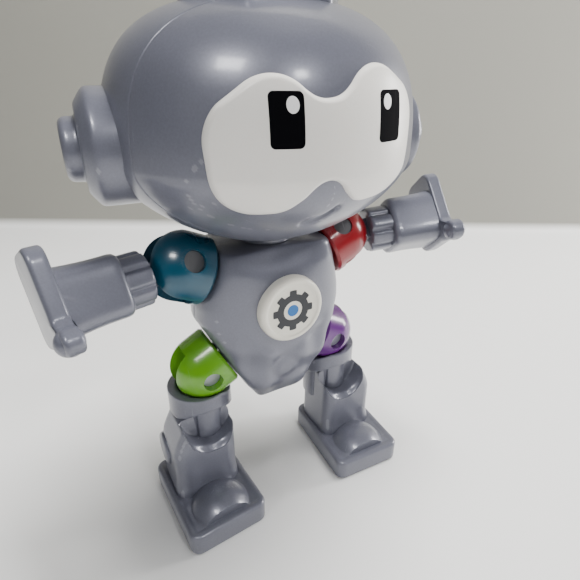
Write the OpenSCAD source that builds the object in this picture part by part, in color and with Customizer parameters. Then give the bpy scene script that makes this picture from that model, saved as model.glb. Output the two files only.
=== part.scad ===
// Articulated toy robot. Millimetres, +Z up, the robot faces -Y, its left side is +X.
// The origin is on the floor, straight below the middle of the head.

/* [Head] */
// Width of the head shells, ear to ear side
head_w = 61.2; // [56:0.2:66]
// Depth of the head shells, front to back
head_d = 56.6; // [52:0.2:62]
// Height of the head's widest line above the floor
head_wide_z = 84; // [80:0.2:90]
// Dome height above the widest line
head_up = 26.4; // [22:0.2:30]
// Chin depth below the widest line
head_down = 18.6; // [15:0.2:19]
// Wall of the head shells
head_wall = 1.6; // [1:0.1:2.4]
// Parting plane between the two head shells, in front of the middle
head_seam = 12.5; // [12:0.5:16]
// How far the face plate stands proud of the head
plate_proud = 0.9; // [0.5:0.1:1.4]
// Radius of the ear drums
ear_r = 10.2; // [9:0.1:12]
// Half the distance over the two ear bosses
ear_reach = 37.4; // [36:0.2:44]
// Width of the crown block's front
crown_w = 15; // [10:0.5:20]
// Height of the crown block's top above the floor
crown_top = 114.8; // [113:0.2:122]

/* [Torso] */
// Height of the torso's flat top
torso_top = 65; // [64:0.1:65.2]
// Height of the torso's lowest edge
torso_low = 24; // [22:0.5:26]
// Front of the torso where the badge sits
torso_front = 12.3; // [11:0.1:14]
// Back of the torso
torso_back = 11.2; // [10:0.1:14]
// Radius of the chest badge
badge_r = 8.1; // [6:0.1:9]
// Thickness of the chest badge
badge_t = 2.4; // [2:0.1:3]

/* [Joints] */
// Radius of the round joint pieces
ball_r = 7.7; // [7:0.1:8]
// From a torso facet to the centre of its joint piece
stub_len = 5.2; // [4.8:0.1:6]
// Radius of the limb pivot pins
pin_r = 1.5; // [1.2:0.1:1.7]
// Radius of the pivot pin heads
pin_head_r = 2.25; // [2:0.05:2.6]
// Radius of the swivel pegs
peg_r = 3; // [2.5:0.1:3.5]
// Radius of the swivel pegs' retaining flanges
flange_r = 4.4; // [4:0.1:4.8]
// Thickness of the limb tabs
tab_t = 4.6; // [3.6:0.1:5.2]
// Radius of the limb tabs' round ends
tab_r = 3.4; // [3:0.1:3.6]
// Radial running clearance of pins, pegs and neck
run_gap = 0.05; // [0.02:0.01:0.1]

/* [Arms] */
// Shoulder joint centres, from the middle
shoulder_x = 20; // [19.5:0.1:22]
// Shoulder joint centres, above the floor
shoulder_z = 61.7; // [60.5:0.1:62]
// Length of an arm from the pivot to the palm's back
arm_len = 24.4; // [22:0.2:32]
// Half height of the forearm at the wrist
wrist_r = 6.6; // [6:0.1:8]
// Thickness of a hand
hand_t = 3.3; // [2.6:0.1:4]

/* [Legs] */
// Hip joint centres, from the middle
hip_x = 17.3; // [17:0.1:18.5]
// Hip joint centres, above the floor
hip_z = 35; // [34.5:0.1:37]
// Middle of a foot, from the middle
foot_x = 21.6; // [20.5:0.1:24]
// Width of a foot
foot_w = 19.3; // [16:0.1:20]
// Length of a foot
foot_l = 26.2; // [22:0.2:32]
// Thickness of a foot's plate
foot_t = 5.8; // [4:0.1:7]
// Width of a shin
shin_w = 16.4; // [14:0.1:18.5]
// Depth of a shin
shin_d = 14.2; // [12:0.2:16]

/* [Hidden] */

grey = [0.53, 0.53, 0.62];
big = 300;

// Slope of the torso's facets above and below the horizontal
shoulder_tilt = 24;
hip_tilt = -28;
// Turn of each joint piece about its own peg in the stored pose
swivel_right = 28;
swivel_left = 43;
// Turn of the head about the neck in the stored pose
head_turn = -5;
// Fall of each arm from its peg's axis in the stored pose
fall_right = 28;
fall_left = 24;

// Head shape: squarer above its widest line, fuller towards the chin below it
round_up = 2.8;
round_down = 1.65;
ring_steps = 12;
ear_z = head_wide_z + 2;
ear_base_x = 22;
ear_chamfer = 2.4;
ear_boss_r = 5.5;
crown_l = 22.8;
crown_span = crown_w * 2;
plate_drawn_z = 84;
plate_pegs = 8.5;
plate_peg_r = 1.6;
plate_peg_z = head_wide_z - 1;
head_screw_x = 15;
head_screw_z = head_wide_z + 4;
head_boss_r = 3.4;
head_screw_tip = -head_seam - 8;
head_screw_seat = -head_seam + 5;
smile_in = 2.2;
smile_drop = 8.2;
smile_half = 2;
smile_r = 1.2;
neck_r = 4;
neck_flange_r = 6;
neck_flange_t = 1.5;
neck_wall = 2.4;
neck_in = 7;
neck_gap = 0.9;
head_low = torso_top + neck_gap;

// Torso and what it holds
facet_gap = 0.1;
facet_wall = 2.2;
flange_t = 1.5;
side_gap = 0.2;
flange_gap = 0.3;
torso_round = 20.4;
torso_mid = 46;
torso_hollow = 0.84;
badge_z = 52;
badge_sink = 1.2;
badge_gap = 0.25;
screw_r = 1.1;
screw_head_r = 2.1;
screw_head_t = 1.4;
screw_boss_r = 3.2;
torso_screw_spots = [[-5.5, 54], [5.5, 54], [0, 35]];

// Joint pieces
tab_gap = 0.25;
slot_floor_up = 1.3;
slot_floor_down = -3;
pin_recess_arm = 1;
pin_recess_leg = 2.2;
pin_seat = 4.2;
socket_gap = 0.35;

// Arms
neck_half = 2.6;
cuff_start = ball_r + 0.6;
cuff_r = 5.6;
cuff_len = 4.9;
flute_r = 0.9;
flute_stop = 0.3;
forearm_start = cuff_start + cuff_len;
elbow_r = 6.3;
palm_front = 7;
palm_back = 6.4;
palm_up = 10.6;
palm_down = 7.6;
palm_corner = 3;
thumb_r = 2.3;
thumb_web = 2.1;
thumb_tip = [9.6, -6.2];
thumb_root = [5, -3.2];

// Legs
heel_y = 4.8;
toe_in = 3.4;
foot_corner = 2.4;
shin_back = 4.2;
shin_corner = 3;
shin_lean = 3.4;
shin_top = 24.6;
knee_x = 18.7;
knee_r = 7.6;
knee_low = 24.2;
knee_high = hip_z - 4.2;
knee_notch_r = 6;
knee_arch = 5;
knee_core = 8;
dome_r = 6.4;
dome_h = 4;
dome_y = -14.9;
calf_r = 4;
calf_proud = 0.8;

// Superellipse point: half width a, height c, exponent e, angle p from the axis
function oval(a, c, e, p) = [a * pow(sin(p), 2 / e), c * pow(cos(p), 2 / e)];

// Points along an arc of centre c and radius r, from angle a0 to a1
function arc(c, r, a0, a1, n = 6) = [for (i = [0 : n]) let (a = a0 + (a1 - a0) * i / n) c + r * [cos(a), sin(a)]];

// Head body, grown outwards by g
module head_body(g) {
    upper = [for (i = [0 : ring_steps]) oval(head_w / 2 + g, head_up + g, round_up, 90 * i / ring_steps)];
    lower = [for (i = [1 : ring_steps])
        let (q = oval(head_w / 2 + g, head_down + g, round_down, 90 - 90 * i / ring_steps)) [q[0], -q[1]]];
    translate([0, 0, head_wide_z])
        scale([1, (head_d / 2 + g) / (head_w / 2 + g), 1])
            rotate_extrude($fn = 72) polygon(concat(upper, lower));
}

module turned_head() {
    rotate([0, 0, head_turn]) children();
}

module head_hollow() {
    difference() {
        intersection() {
            head_body(0);
            translate([-big / 2, -big / 2, head_low]) cube(big);
        }
        head_body(-head_wall);
    }
}

module behind_seam() {
    translate([-big / 2, -head_seam, -big / 2]) cube(big);
}

module head_bosses() {
    intersection() {
        for (x = [-head_screw_x, head_screw_x])
            translate([x, 0, head_screw_z]) rotate([90, 0, 0]) cylinder(h = head_d, r = head_boss_r, center = true, $fn = 32);
        head_body(-head_wall / 2);
    }
}

module screw_bores(y_tip, y_head) {
    translate([0, y_tip, 0]) rotate([-90, 0, 0]) cylinder(h = y_head - y_tip, r = screw_r, $fn = 24);
    translate([0, y_head, 0]) rotate([-90, 0, 0]) cylinder(h = big, r = screw_head_r + side_gap, $fn = 32);
}

// Shallow smile under the face plate
module smile() {
    translate([0, -head_d / 2 + smile_in, head_wide_z - smile_drop]) union() {
        rotate([0, 90, 0]) cylinder(h = 2 * smile_half, r = smile_r, center = true, $fn = 32);
        for (x = [-smile_half, smile_half]) translate([x, 0, 0]) sphere(r = smile_r, $fn = 32);
    }
}

module place_head_screws() {
    for (x = [-head_screw_x, head_screw_x]) translate([x, 0, head_screw_z]) children();
}

module head_front_shell() {
    color(grey) turned_head() difference() {
        union() {
            head_hollow();
            head_bosses();
        }
        behind_seam();
        place_head_screws() screw_bores(head_screw_tip, head_screw_seat);
        for (x = [-plate_pegs, plate_pegs])
            translate([x, -head_d / 2 - 5, plate_peg_z]) rotate([-90, 0, 0]) cylinder(h = 12, r = plate_peg_r, $fn = 32);
        smile();
    }
}

module head_back_shell() {
    color(grey) turned_head() difference() {
        union() {
            intersection() {
                union() {
                    head_hollow();
                    head_bosses();
                }
                behind_seam();
            }
            translate([0, 0, head_low]) cylinder(h = neck_in, r = neck_r + 2.4, $fn = 48);
        }
        place_head_screws() screw_bores(head_screw_tip, head_screw_seat);
        translate([0, 0, head_low - 1]) cylinder(h = neck_in, r = neck_r, $fn = 48);
        for (s = [-1, 1])
            translate([s * ear_base_x, 0, ear_z]) rotate([0, s * 90, 0]) cylinder(h = 20, r = ear_boss_r / 2, $fn = 40);
    }
}

module head_screws() {
    color("silver") turned_head() place_head_screws() screw(head_screw_tip, head_screw_seat);
}

module screw(y_tip, y_head) {
    difference() {
        translate([0, y_tip, 0]) rotate([-90, 0, 0]) union() {
            cylinder(h = y_head - y_tip, r = screw_r, $fn = 24);
            translate([0, 0, y_head - y_tip]) cylinder(h = screw_head_t, r = screw_head_r, $fn = 32);
        }
        translate([0, y_head + screw_head_t, 0]) for (a = [0, 90]) rotate([0, a, 0]) cube([2.8, 1.6, 0.6], center = true);
    }
}

// Goggle outline of the face plate, right half then left half, seen from the front
function half_outline() = concat(
    [[0, 95.2], [1.3, 95.3], [2.6, 95.8], [3.5, 96.5]],
    arc([9, 92.6], 6.6, 142, 62),
    arc([10.8, 90.4], 7.6, 45, 0),
    arc([10.5, 86.2], 7.6, 0, -90),
    arc([8.2, 83], 4.4, -90, -135, 4),
    [[3.6, 81.2], [2.6, 82.5], [1.4, 83.4], [0, 83.7]]);

module face_outline() {
    right = half_outline();
    n = len(right);
    left = [for (i = [n - 2 : -1 : 1]) [-right[i][0], right[i][1]]];
    polygon(concat(right, left));
}

module face_plate() {
    color("white") turned_head() union() {
        intersection() {
            difference() {
                head_body(plate_proud);
                head_body(0);
            }
            translate([0, -10, head_wide_z - plate_drawn_z]) rotate([90, 0, 0]) linear_extrude(40) face_outline();
        }
        intersection() {
            for (x = [-plate_pegs, plate_pegs])
                translate([x, -head_d / 2 - 2, plate_peg_z]) rotate([-90, 0, 0]) cylinder(h = 6, r = plate_peg_r, $fn = 32);
            head_body(plate_proud / 2);
        }
    }
}

module crown_block() {
    w = crown_w / 2;
    l = crown_l / 2;
    m = crown_span / 2;
    color(grey) turned_head() difference() {
        translate([0, 0, head_wide_z]) linear_extrude(crown_top - head_wide_z)
            polygon([[-w, -l], [w, -l], [m, -1], [m, 1], [w, l], [-w, l], [-m, 1], [-m, -1]]);
        head_body(0);
    }
}

// Left ear about its own axis, Z outwards from the middle of the head
module ear_body() {
    rotate_extrude($fn = 72) polygon([[0, 0], [ear_r, 0], [ear_r, ear_reach - 5.2], [ear_r - 0.6, ear_reach - 4.6],
        [ear_boss_r + 1.9, ear_reach - ear_chamfer - 0.6], [ear_boss_r, ear_reach - ear_chamfer - 0.6],
        [ear_boss_r, ear_reach - 0.8], [ear_boss_r - 0.8, ear_reach], [0, ear_reach]]);
}

module ear() {
    color(grey) union() {
        difference() {
            translate([0, 0, ear_z]) rotate([0, 90, 0]) ear_body();
            head_body(0);
        }
        translate([ear_base_x + 3, 0, ear_z]) rotate([0, 90, 0]) cylinder(h = 8, r = ear_boss_r / 2, $fn = 40);
    }
}

module ear_left() {
    turned_head() ear();
}

module ear_right() {
    turned_head() mirror([1, 0, 0]) ear();
}

neck_flange_top = torso_top - neck_wall - side_gap;

module neck_post() {
    color(grey) union() {
        translate([0, 0, neck_flange_top - neck_flange_t]) cylinder(h = neck_flange_t, r = neck_flange_r, $fn = 48);
        translate([0, 0, neck_flange_top - 0.2]) cylinder(h = head_low + neck_in - 1 - neck_flange_top + 0.2, r = neck_r, $fn = 48);
        translate([0, 0, torso_top + side_gap]) cylinder(h = neck_gap - side_gap, r = neck_flange_r, $fn = 48);
    }
}

// Foot of the perpendicular from a joint centre to its torso facet, and the facet's ends
function facet_point(c, tilt, along) = c - stub_len * [cos(tilt), sin(tilt)] + along * [-sin(tilt), cos(tilt)];
shoulder_c = [shoulder_x, shoulder_z];
hip_c = [hip_x, hip_z];

module torso_body() {
    up = facet_point(shoulder_c, shoulder_tilt, 0);
    rise = (torso_top - up[1]) / cos(shoulder_tilt);
    top_end = facet_point(shoulder_c, shoulder_tilt, rise);
    waist_up = facet_point(shoulder_c, shoulder_tilt, -ball_r - 0.4);
    waist_down = facet_point(hip_c, hip_tilt, ball_r + 0.4);
    low_end = facet_point(hip_c, hip_tilt, -ball_r - 0.2);
    right = [top_end, waist_up, [waist_up[0] + 0.5, (waist_up[1] + waist_down[1]) / 2], waist_down, low_end, [5.6, torso_low + 1.2]];
    left = [for (i = [len(right) - 1 : -1 : 0]) [-right[i][0], right[i][1]]];
    f = torso_front;
    b = torso_back;
    intersection() {
        rotate([90, 0, 0]) linear_extrude(big, center = true)
            polygon(concat(right, [[3.4, torso_low], [-3.4, torso_low]], left));
        rotate([90, 0, 90]) linear_extrude(big, center = true)
            polygon([[-f + 3, torso_top], [-f + 0.6, torso_top - 4], [-f, badge_z + 5], [-f, badge_z - 7],
                [-9.6, torso_low + 7], [-5.5, torso_low], [4.5, torso_low], [9, torso_low + 7],
                [b, badge_z - 7], [b, badge_z + 5], [b - 2.6, torso_top]]);
        scale([1, f / torso_round, 1]) cylinder(h = big, r = torso_round, center = true, $fn = 96);
    }
}

// Carries a joint piece drawn about its hinge centre, with its peg along -X, to its place
module at_shoulder(side, turn) {
    mirror([side < 0 ? 1 : 0, 0, 0]) translate([shoulder_x, 0, shoulder_z])
        rotate([0, -shoulder_tilt, 0]) rotate([-turn, 0, 0]) children();
}

module at_hip(side) {
    mirror([side < 0 ? 1 : 0, 0, 0]) translate([hip_x, 0, hip_z]) rotate([0, -hip_tilt, 0]) children();
}

// Bore and flange pocket that one swivel peg leaves in the torso
module peg_room() {
    translate([-stub_len - big / 20, 0, 0]) rotate([0, 90, 0]) cylinder(h = big / 20 + 1, r = peg_r + run_gap, $fn = 48);
    translate([-stub_len - facet_wall - flange_t - 2 * side_gap, 0, 0]) rotate([0, 90, 0])
        cylinder(h = flange_t + 2 * side_gap, r = flange_r + flange_gap, $fn = 48);
}

module torso_room() {
    translate([0, 0, torso_mid * (1 - torso_hollow)]) scale(torso_hollow) torso_body();
    for (side = [-1, 1]) {
        at_shoulder(side, 0) peg_room();
        at_hip(side) peg_room();
    }
    cylinder(h = big, r = neck_r + run_gap, $fn = 48);
    translate([0, 0, neck_flange_top - neck_flange_t - side_gap])
        cylinder(h = neck_flange_t + 2 * side_gap, r = neck_flange_r + flange_gap, $fn = 48);
}

torso_screw_tip = -torso_front + 3;
torso_screw_seat = torso_back - 4.4;

module place_torso_screws() {
    for (p = torso_screw_spots) translate([p[0], 0, p[1]]) children();
}

module torso_shells() {
    difference() {
        union() {
            difference() {
                torso_body();
                torso_room();
            }
            intersection() {
                place_torso_screws() rotate([90, 0, 0]) cylinder(h = big, r = screw_boss_r, center = true, $fn = 32);
                translate([0, 0, torso_mid * 0.06]) scale(0.94) torso_body();
            }
        }
        place_torso_screws() screw_bores(torso_screw_tip, torso_screw_seat);
        badge_room();
    }
}

module badge_room() {
    translate([0, -torso_front + badge_sink, badge_z]) rotate([90, 0, 0]) cylinder(h = big, r = badge_r + badge_gap, $fn = 64);
    translate([0, 0, badge_z]) rotate([90, 0, 0]) cylinder(h = torso_front, r = 2, $fn = 32);
}

module front_half() {
    translate([-big / 2, -big, -big / 2]) cube(big);
}

module torso_front_shell() {
    color(grey) intersection() {
        torso_shells();
        front_half();
    }
}

module torso_back_shell() {
    color(grey) difference() {
        torso_shells();
        front_half();
    }
}

module torso_screws() {
    color("silver") place_torso_screws() screw(torso_screw_tip, torso_screw_seat);
}

module badge() {
    back = -torso_front + badge_sink;
    color("ivory") union() {
        translate([0, back, badge_z]) rotate([90, 0, 0]) rotate_extrude($fn = 64)
            polygon([[0, 0], [badge_r, 0], [badge_r, badge_t - 0.7], [badge_r - 0.7, badge_t], [badge_r - 1.3, badge_t],
                [badge_r - 1.6, badge_t - 0.2], [0, badge_t - 0.2]]);
        translate([0, back, badge_z]) rotate([-90, 0, 0]) cylinder(h = 2.6, r = 2, $fn = 32);
    }
}

// Round joint piece about its hinge centre: dome outwards along +X, peg along -X, hinge along Y
module joint_piece(recess) {
    difference() {
        union() {
            intersection() {
                sphere(r = ball_r, $fn = 72);
                translate([0, -big / 2, -big / 2]) cube(big);
            }
            rotate([0, -90, 0]) rotate_extrude($fn = 72)
                polygon([[0, -1], [ball_r * cos(7.5), -1], [ball_r, 0], [ball_r, stub_len - 0.6 - facet_gap],
                    [ball_r - 0.5, stub_len - facet_gap], [0, stub_len - facet_gap]]);
            rotate([0, -90, 0]) cylinder(h = stub_len + facet_wall + side_gap + 0.1, r = peg_r, $fn = 48);
            translate([-stub_len - facet_wall - side_gap - flange_t, 0, 0]) rotate([0, 90, 0])
                cylinder(h = flange_t, r = flange_r, $fn = 48);
        }
        limb_slot();
        rotate([90, 0, 0]) cylinder(h = 2 * big, r = pin_r, center = true, $fn = 40);
        translate([0, -pin_seat, 0]) rotate([90, 0, 0]) cylinder(h = big, r = pin_head_r + 0.05, $fn = 40);
        translate([0, ball_r - recess, 0]) rotate([-90, 0, 0]) cylinder(h = big, r = pin_head_r, $fn = 40);
    }
}

// Slot that the limb's tab swings in, deeper on the side the limb falls to
module limb_slot() {
    w = tab_t + 2 * tab_gap;
    rotate([90, 0, 0]) cylinder(h = w, r = tab_r + 0.3, center = true, $fn = 48);
    translate([slot_floor_up, -w / 2, 0]) cube([big, w, big]);
    translate([slot_floor_down, -w / 2, -big]) cube([big, w, big]);
}

// Headed pivot pin along Y, its head in the front cheek
module pivot_pin(recess) {
    union() {
        translate([0, -pin_seat - 0.1, 0]) rotate([-90, 0, 0]) cylinder(h = pin_seat + ball_r - recess + 0.1, r = pin_r, $fn = 40);
        translate([0, -pin_seat, 0]) rotate([90, 0, 0]) cylinder(h = ball_r - pin_seat - recess, r = pin_head_r, $fn = 40);
    }
}

module shoulder_joint_right() {
    color([0.02, 0.45, 0.6]) at_shoulder(-1, swivel_right) joint_piece(pin_recess_arm);
}

module shoulder_joint_left() {
    color([0.75, 0.03, 0.06]) at_shoulder(1, swivel_left) joint_piece(pin_recess_arm);
}

module hip_joint_right() {
    color([0.35, 0.8, 0.05]) at_hip(-1) joint_piece(pin_recess_leg);
}

module hip_joint_left() {
    color([0.42, 0.08, 0.55]) at_hip(1) joint_piece(pin_recess_leg);
}

module shoulder_pin_right() {
    color([0.25, 0.26, 0.3]) at_shoulder(-1, swivel_right) pivot_pin(pin_recess_arm);
}

module shoulder_pin_left() {
    color([0.25, 0.26, 0.3]) at_shoulder(1, swivel_left) pivot_pin(pin_recess_arm);
}

module hip_pin_right() {
    color([0.5, 0.5, 0.56]) at_hip(-1) pivot_pin(pin_recess_leg);
}

module hip_pin_left() {
    color([0.5, 0.5, 0.56]) at_hip(1) pivot_pin(pin_recess_leg);
}

module tab_bore() {
    rotate([90, 0, 0]) cylinder(h = big, r = pin_r + run_gap, center = true, $fn = 40);
}

// Arm about its pivot, running along +X, its front towards -Y
module arm() {
    difference() {
        union() {
            rotate([90, 0, 0]) cylinder(h = tab_t, r = tab_r, center = true, $fn = 48);
            translate([0, -tab_t / 2, -neck_half]) cube([cuff_start + 1, tab_t, 2 * neck_half]);
            translate([cuff_start, 0, 0]) rotate([0, 90, 0]) cylinder(h = cuff_len + 1, r = cuff_r, $fn = 56);
            forearm();
            translate([arm_len, 0, 0]) rotate([0, 90, 0]) hand();
        }
        tab_bore();
        // Lengthwise flutes of the cuff
        for (i = [0 : 7]) rotate([22.5 + 45 * i, 0, 0]) translate([cuff_start - 1, 0, cuff_r + 0.35])
            rotate([0, 90, 0]) cylinder(h = cuff_len + 1 - flute_stop, r = flute_r, $fn = 24);
    }
}

// Four-sided tapered sleeve with rounded long edges
module forearm() {
    a = elbow_r;
    b = wrist_r;
    x0 = forearm_start;
    side = [[x0, -a + 0.5], [x0 + 0.5, -a], [arm_len + 0.5, -b], [arm_len + 0.5, b], [x0 + 0.5, a], [x0, a - 0.5]];
    intersection() {
        rotate([90, 0, 0]) linear_extrude(big, center = true) polygon(side);
        linear_extrude(big, center = true) polygon(side);
        rotate([0, 90, 0]) rotate_extrude($fn = 64)
            polygon([[0, x0], [a * 1.1, x0], [a * 1.17, x0 + 1], [b * 1.17, arm_len + 0.5], [0, arm_len + 0.5]]);
    }
}

// Flat hand across the wrist, fingers towards -X and thumb towards -Y before it is turned
module hand() {
    c = palm_corner;
    w = palm_front + palm_back;
    l = palm_up + palm_down;
    linear_extrude(hand_t) union() {
        translate([-palm_up + c, -palm_front]) square([l - 2 * c, w]);
        translate([-palm_up, -palm_front + c]) square([l, w - 2 * c]);
        for (x = [-palm_up + c, palm_down - c], y = [-palm_front + c, palm_back - c])
            translate([x, y]) circle(r = c, $fn = 40);
        translate([-thumb_tip[1], -thumb_tip[0]]) circle(r = thumb_r, $fn = 40);
        thumb_len = norm(thumb_tip - thumb_root);
        translate([-thumb_root[1], -thumb_root[0]])
            rotate(atan2(-thumb_tip[0] + thumb_root[0], -thumb_tip[1] + thumb_root[1]))
                translate([0, -thumb_web]) square([thumb_len, 2 * thumb_web]);
    }
}

module arm_right() {
    color(grey) at_shoulder(-1, swivel_right) rotate([0, fall_right, 0]) arm();
}

module arm_left() {
    color(grey) at_shoulder(1, swivel_left) rotate([0, fall_left, 0]) arm();
}

// Rectangle with round corners, centred on x
module soft_rect(w, y0, y1, c) {
    translate([-w / 2 + c, y0]) square([w - 2 * c, y1 - y0]);
    translate([-w / 2, y0 + c]) square([w, y1 - y0 - 2 * c]);
    for (x = [-w / 2 + c, w / 2 - c], y = [y0 + c, y1 - c]) translate([x, y]) circle(r = c, $fn = 40);
}

// Left leg, standing
module leg() {
    difference() {
        union() {
            translate([hip_x, 0, hip_z]) rotate([90, 0, 0]) cylinder(h = tab_t, r = tab_r, center = true, $fn = 48);
            translate([hip_x - neck_half, -tab_t / 2, knee_low]) cube([2 * neck_half, tab_t, hip_z - knee_low]);
            translate([knee_x, 0, knee_low]) knee();
            shin();
            foot();
        }
        translate([hip_x, 0, hip_z]) tab_bore();
    }
}

// Cup under the hip's joint piece, hollowed so that the joint piece can turn in it
module knee() {
    difference() {
        union() {
            difference() {
                cylinder(h = knee_high - knee_low, r = knee_r, $fn = 64);
                // Arch over the knee's front
                translate([0, 0, -knee_arch / 2]) rotate([90, 0, 0]) cylinder(h = big, r = knee_arch, $fn = 48);
            }
            translate([0, 0, -knee_core]) cylinder(h = knee_core + knee_high - knee_low, r = knee_r - 1.4, $fn = 56);
        }
        difference() {
            translate([hip_x - knee_x, 0, hip_z - knee_low]) socket();
            translate([hip_x - knee_x - neck_half, -tab_t / 2, -big / 2]) cube([2 * neck_half, tab_t, big]);
        }
    }
}

module socket() {
    sphere(r = ball_r + socket_gap, $fn = 64);
    for (turn = [0, 6, 12]) rotate([0, -hip_tilt - turn, 0]) rotate([0, -90, 0])
        cylinder(h = big, r = ball_r + socket_gap, $fn = 64);
}

module shin() {
    front = shin_back - shin_d;
    difference() {
        union() {
            intersection() {
                translate([foot_x, 0, foot_t - 0.5]) linear_extrude(shin_top - foot_t + 0.5)
                    soft_rect(shin_w, front, shin_back, shin_corner);
                rotate([90, 0, 0]) linear_extrude(big, center = true)
                    polygon([[0, 0], [foot_x + shin_w / 2, 0], [foot_x + shin_w / 2, shin_top - 6],
                        [foot_x + shin_w / 2 - shin_lean, shin_top], [0, shin_top]]);
            }
            translate([foot_x + shin_w / 2 - 1, 0, shin_top * 0.6]) rotate([0, 90, 0])
                cylinder(h = 1 + calf_proud, r = calf_r, $fn = 48);
        }
        // Round notch in the front of the knee
        translate([knee_x + 1, front + 3.2, shin_top]) rotate([90, 0, 0]) cylinder(h = big, r = knee_notch_r, $fn = 56);
    }
}

module foot() {
    translate([foot_x, 0, 0]) rotate([0, 0, -toe_in]) union() {
        linear_extrude(foot_t) soft_rect(foot_w, heel_y - foot_l, heel_y, foot_corner);
        cap_r = (dome_r * dome_r + dome_h * dome_h) / (2 * dome_h);
        intersection() {
            translate([0, dome_y, foot_t + dome_h - cap_r]) sphere(r = cap_r, $fn = 64);
            translate([-big / 2, -big / 2, foot_t - 1]) cube(big);
        }
    }
}

module leg_left() {
    color(grey) leg();
}

module leg_right() {
    color(grey) mirror([1, 0, 0]) leg();
}

head_front_shell();
head_back_shell();
face_plate();
crown_block();
ear_right();
ear_left();
head_screws();
neck_post();
torso_front_shell();
torso_back_shell();
badge();
torso_screws();
shoulder_joint_right();
shoulder_joint_left();
hip_joint_right();
hip_joint_left();
shoulder_pin_right();
shoulder_pin_left();
hip_pin_right();
hip_pin_left();
arm_right();
arm_left();
leg_right();
leg_left();
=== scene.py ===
import bpy
import math
import numpy as np
from mathutils import Matrix, Vector


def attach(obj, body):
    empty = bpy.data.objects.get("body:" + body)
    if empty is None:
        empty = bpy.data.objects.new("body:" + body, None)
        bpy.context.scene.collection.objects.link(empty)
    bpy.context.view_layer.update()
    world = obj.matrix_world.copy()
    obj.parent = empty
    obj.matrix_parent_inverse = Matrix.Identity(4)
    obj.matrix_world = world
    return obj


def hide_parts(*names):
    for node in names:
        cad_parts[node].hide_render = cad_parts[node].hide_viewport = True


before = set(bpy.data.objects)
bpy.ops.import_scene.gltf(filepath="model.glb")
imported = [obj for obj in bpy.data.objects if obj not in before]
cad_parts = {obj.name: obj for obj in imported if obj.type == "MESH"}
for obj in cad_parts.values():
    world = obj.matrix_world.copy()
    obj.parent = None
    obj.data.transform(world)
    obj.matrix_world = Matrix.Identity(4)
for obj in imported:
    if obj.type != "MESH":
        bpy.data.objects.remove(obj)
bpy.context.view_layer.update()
mm = 0.001

# lengths are in millimetres until makePiece turns them into metres

def move(x, y, z):
    m = np.eye(4); m[:3, 3] = (x, y, z)
    return m

def turn(axis, degrees):
    c, s = math.cos(math.radians(degrees)), math.sin(math.radians(degrees))
    i, j = {"x": (1, 2), "y": (2, 0), "z": (0, 1)}[axis]
    m = np.eye(4); m[i, i] = c; m[j, j] = c; m[i, j] = -s; m[j, i] = s
    return m

mirrorX = np.diag([-1.0, 1.0, 1.0, 1.0])
fullTurn = 2 * math.pi
quarterTurn = math.pi / 2

def carry(part, m):
    points, faces = part
    return points @ m[:3, :3].T + m[:3, 3], faces

# rows of points joined to closed tubes: point (i, j) meets (i, j+1) and (i+1, j); a fan to the
# row's middle (or to a given point) closes each end
def tube(rows, startAt=None, endAt=None, loopRows=False):
    r, c = rows.shape[:2]
    points = rows.reshape(-1, 3)
    i, j = np.meshgrid(np.arange(r if loopRows else r - 1), np.arange(c), indexing="ij")
    a = i * c + j
    b = i * c + (j + 1) % c
    d = ((i + 1) % r) * c + j
    e = ((i + 1) % r) * c + (j + 1) % c
    faces = [np.stack([a, b, e, d], -1).reshape(-1, 4)]
    if not loopRows:
        k = np.arange(c)
        first = rows[0].mean(0) if startAt is None else np.array(startAt, float)
        last = rows[-1].mean(0) if endAt is None else np.array(endAt, float)
        n = len(points)
        points = np.vstack([points, first, last])
        faces.append(np.stack([(k + 1) % c, k, np.full(c, n)], -1))
        base = (r - 1) * c
        faces.append(np.stack([base + k, base + (k + 1) % c, np.full(c, n + 1)], -1))
    return points, faces

# volume inside a closed part: a sixth of the sum of a . (b x c) over its triangles
def volume(part):
    points, faces = part
    total = 0
    for f in faces:
        for k in range(1, f.shape[1] - 1):
            a, b, c = points[f[:, 0]], points[f[:, k]], points[f[:, k + 1]]
            total += np.einsum("ij,ij->", a, np.cross(b, c)) / 6
    return total

# one mesh object from closed parts, each turned right side out, tied to its body, with the CAD nodes it replaces
# hidden
def makePiece(name, parts, finish, body, nodes=(), smoothAngle=38):
    allPoints, loops, sizes = [], [], []
    base = 0
    for part in parts:
        points, faces = part
        flip = volume(part) < 0
        for f in faces:
            g = f[:, ::-1] if flip else f
            loops.append((g + base).reshape(-1))
            sizes.append(np.full(len(g), g.shape[1]))
        allPoints.append(points)
        base += len(points)
    points = np.vstack(allPoints) * mm
    loop = np.concatenate(loops)
    size = np.concatenate(sizes)
    mesh = bpy.data.meshes.new(name)
    mesh.vertices.add(len(points))
    mesh.vertices.foreach_set("co", points.reshape(-1))
    mesh.loops.add(len(loop))
    mesh.loops.foreach_set("vertex_index", loop.astype(np.int32))
    mesh.polygons.add(len(size))
    mesh.polygons.foreach_set("loop_start", (np.cumsum(size) - size).astype(np.int32))
    mesh.polygons.foreach_set("loop_total", size.astype(np.int32))
    mesh.update(calc_edges=True)
    mesh.validate()
    mesh.polygons.foreach_set("use_smooth", np.ones(len(mesh.polygons), bool))
    mesh.set_sharp_from_angle(angle=math.radians(smoothAngle))
    piece = bpy.data.objects.new(name, mesh)
    bpy.context.scene.collection.objects.link(piece)
    mesh.materials.append(finish)
    if body:
        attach(piece, body)
    if nodes:
        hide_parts(*nodes)
    return piece

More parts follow.
